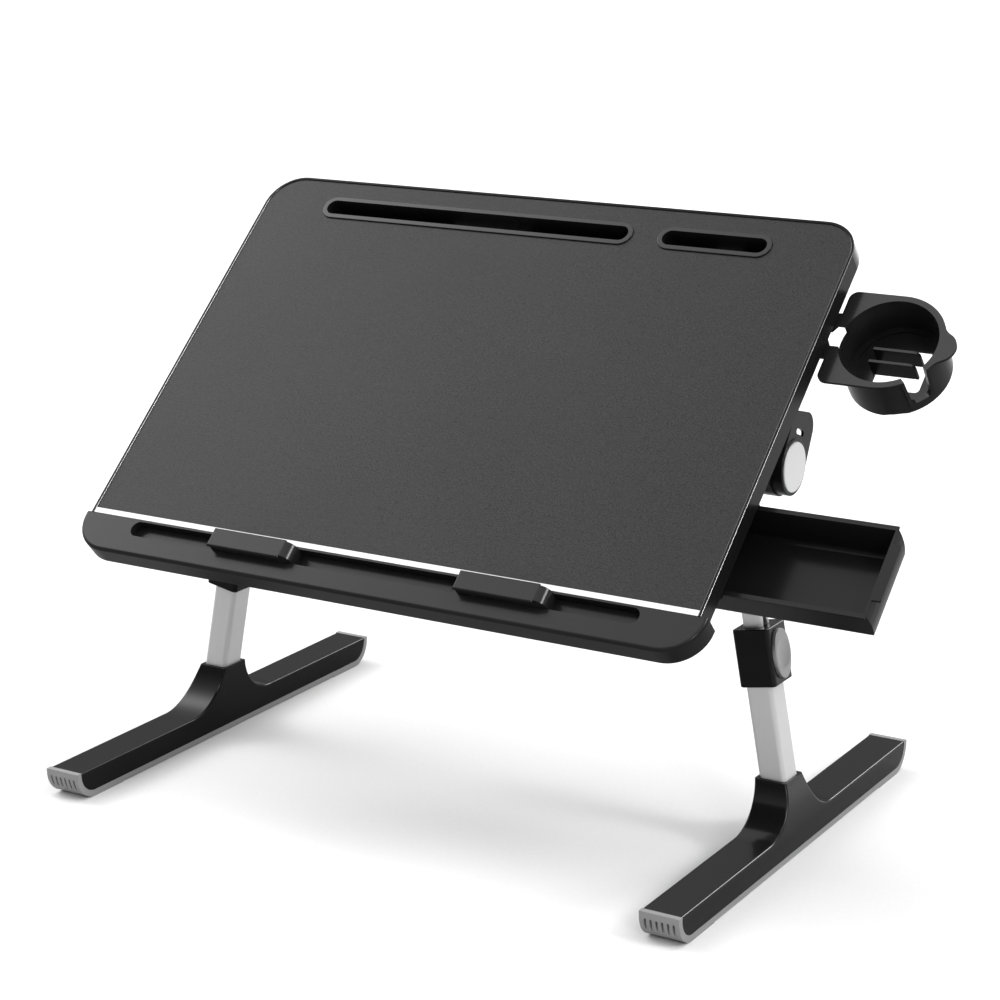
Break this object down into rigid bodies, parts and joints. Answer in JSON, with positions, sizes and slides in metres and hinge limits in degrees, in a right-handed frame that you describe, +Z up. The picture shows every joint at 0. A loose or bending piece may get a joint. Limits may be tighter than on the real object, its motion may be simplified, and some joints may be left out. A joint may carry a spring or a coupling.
{
  "type": "laptop bed table",
  "caption": "Tilting laptop table on folding telescopic legs, with a front ledge, device slots, a side drawer and a pull-out cup holder.",
  "frame": {"origin": "on the floor, under the middle of the whole object's box with the drawer and cup holder out", "axes": "+X to the user's right along the tilt axis, +Y away from the user, +Z up"},
  "size_m": [0.7392, 0.461, 0.5158],
  "materials": {
    "board": "black-faced fibreboard, satin",
    "skin": "fine-grained charcoal leatherette, matt",
    "band": "satin black edging with a bright bead",
    "ledge": "satin charcoal moulding",
    "accent": "white inlay",
    "moulding": "satin black moulding",
    "hinge": "satin black glass-filled moulding",
    "silver": "silver-painted button",
    "tube": "pale satin anodised tube",
    "liner": "natural grey liner",
    "steel": "plated steel",
    "screw": "black screw head",
    "shell": "satin black foot shell",
    "sole": "grey rubber"
  },
  "bodies": {
    "tabletop": {"top_panel": "board", "top_skin": "skin", "edge_band": "band", "accent_strip": "accent", "front_ledge": "ledge", "tablet_slot_tray": "moulding", "phone_slot_tray": "moulding", "left_hinge_bracket": "hinge", "right_hinge_bracket": "hinge", "left_tilt_cap": "hinge", "right_tilt_cap": "hinge", "front_drawer_runner": "moulding", "rear_drawer_runner": "moulding", "cup_guide": "moulding", "bracket_screws": "screw", "runner_screws": "screw", "guide_screws": "screw", "ledge_screws": "screw", "tray_screws": "screw"},
    "drawer": {"drawer": "moulding"},
    "cup_holder": {"cup_holder": "moulding"},
    "left_stopper": {"left_stopper": "ledge"},
    "right_stopper": {"right_stopper": "ledge"},
    "left_tilt_bush": {"left_tilt_bush": "liner"},
    "left_hinge_core": {"left_hinge_core": "hinge", "left_fold_bolt": "steel", "left_fold_nut": "steel"},
    "left_upper_leg": {"left_knuckle": "hinge", "left_inner_tube": "tube"},
    "left_lower_leg": {"left_outer_tube": "tube", "left_tube_glide": "liner", "left_collar": "hinge", "left_foot_shell": "shell", "left_foot_sole": "sole"},
    "left_tilt_button": {"left_tilt_button": "silver", "left_lock_gear": "steel", "left_tilt_spring": "steel"},
    "left_height_button": {"left_height_button": "silver", "left_lock_pin": "steel"},
    "right_tilt_bush": {"right_tilt_bush": "liner"},
    "right_hinge_core": {"right_hinge_core": "hinge", "right_fold_bolt": "steel", "right_fold_nut": "steel"},
    "right_upper_leg": {"right_knuckle": "hinge", "right_inner_tube": "tube"},
    "right_lower_leg": {"right_outer_tube": "tube", "right_tube_glide": "liner", "right_collar": "hinge", "right_foot_shell": "shell", "right_foot_sole": "sole"},
    "right_tilt_button": {"right_tilt_button": "silver", "right_lock_gear": "steel", "right_tilt_spring": "steel"},
    "right_height_button": {"right_height_button": "silver", "right_lock_pin": "steel"}
  },
  "joints": [
    {"name": "left_tilt", "type": "hinge", "parent": "tabletop", "child": "left_tilt_bush", "pos_m": [-0.2952, 0, 0.333], "axis": [-1, 0, 0], "range_deg": [-41.6, 0]},
    {"name": "left_level", "type": "hinge", "parent": "left_tilt_bush", "child": "left_hinge_core", "pos_m": [-0.2952, 0, 0.333], "axis": [-1, 0, 0], "range_deg": [-41.6, 0]},
    {"name": "left_fold", "type": "hinge", "parent": "left_hinge_core", "child": "left_upper_leg", "pos_m": [-0.2952, 0, 0.333], "axis": [0, -1, 0], "range_deg": [0, 100.6]},
    {"name": "left_height", "type": "slide", "parent": "left_upper_leg", "child": "left_lower_leg", "axis": [0.184, 0, 0.9829], "range_m": [0, 0.102]},
    {"name": "left_tilt_press", "type": "slide", "parent": "tabletop", "child": "left_tilt_button", "axis": [1, 0, 0], "range_m": [0, 0.003], "stiffness_N_per_m": 1500},
    {"name": "left_height_press", "type": "slide", "parent": "left_lower_leg", "child": "left_height_button", "axis": [0.9829, 0, -0.184], "range_m": [0, 0.0025], "stiffness_N_per_m": 1500},
    {"name": "right_tilt", "type": "hinge", "parent": "tabletop", "child": "right_tilt_bush", "pos_m": [0.1868, 0, 0.333], "axis": [-1, 0, 0], "range_deg": [-41.6, 0]},
    {"name": "right_level", "type": "hinge", "parent": "right_tilt_bush", "child": "right_hinge_core", "pos_m": [0.1868, 0, 0.333], "axis": [-1, 0, 0], "range_deg": [-41.6, 0]},
    {"name": "right_fold", "type": "hinge", "parent": "right_hinge_core", "child": "right_upper_leg", "pos_m": [0.1868, 0, 0.333], "axis": [0, 1, 0], "range_deg": [0, 100.6]},
    {"name": "right_height", "type": "slide", "parent": "right_upper_leg", "child": "right_lower_leg", "axis": [-0.184, 0, 0.9829], "range_m": [0, 0.102]},
    {"name": "right_tilt_press", "type": "slide", "parent": "tabletop", "child": "right_tilt_button", "axis": [-1, 0, 0], "range_m": [0, 0.003], "stiffness_N_per_m": 1500},
    {"name": "right_height_press", "type": "slide", "parent": "right_lower_leg", "child": "right_height_button", "axis": [-0.9829, 0, -0.184], "range_m": [0, 0.0025], "stiffness_N_per_m": 1500},
    {"name": "drawer_slide", "type": "slide", "parent": "tabletop", "child": "drawer", "axis": [-1, 0, 0], "range_m": [-0.03, 0.1203]},
    {"name": "cup_slide", "type": "slide", "parent": "tabletop", "child": "cup_holder", "axis": [-1, 0, 0], "range_m": [0, 0.098]},
    {"name": "left_stopper_slide", "type": "slide", "parent": "tabletop", "child": "left_stopper", "axis": [1, 0, 0], "range_m": [-0.082, 0.075]},
    {"name": "right_stopper_slide", "type": "slide", "parent": "tabletop", "child": "right_stopper", "axis": [1, 0, 0], "range_m": [-0.075, 0.07]}
  ],
  "couplings": [
    {"joint": "left_level", "follows": "left_fold", "ratio": -0.41352},
    {"joint": "right_level", "follows": "right_fold", "ratio": -0.41352},
    {"joint": "right_tilt", "follows": "left_tilt", "ratio": 1}
  ]
}
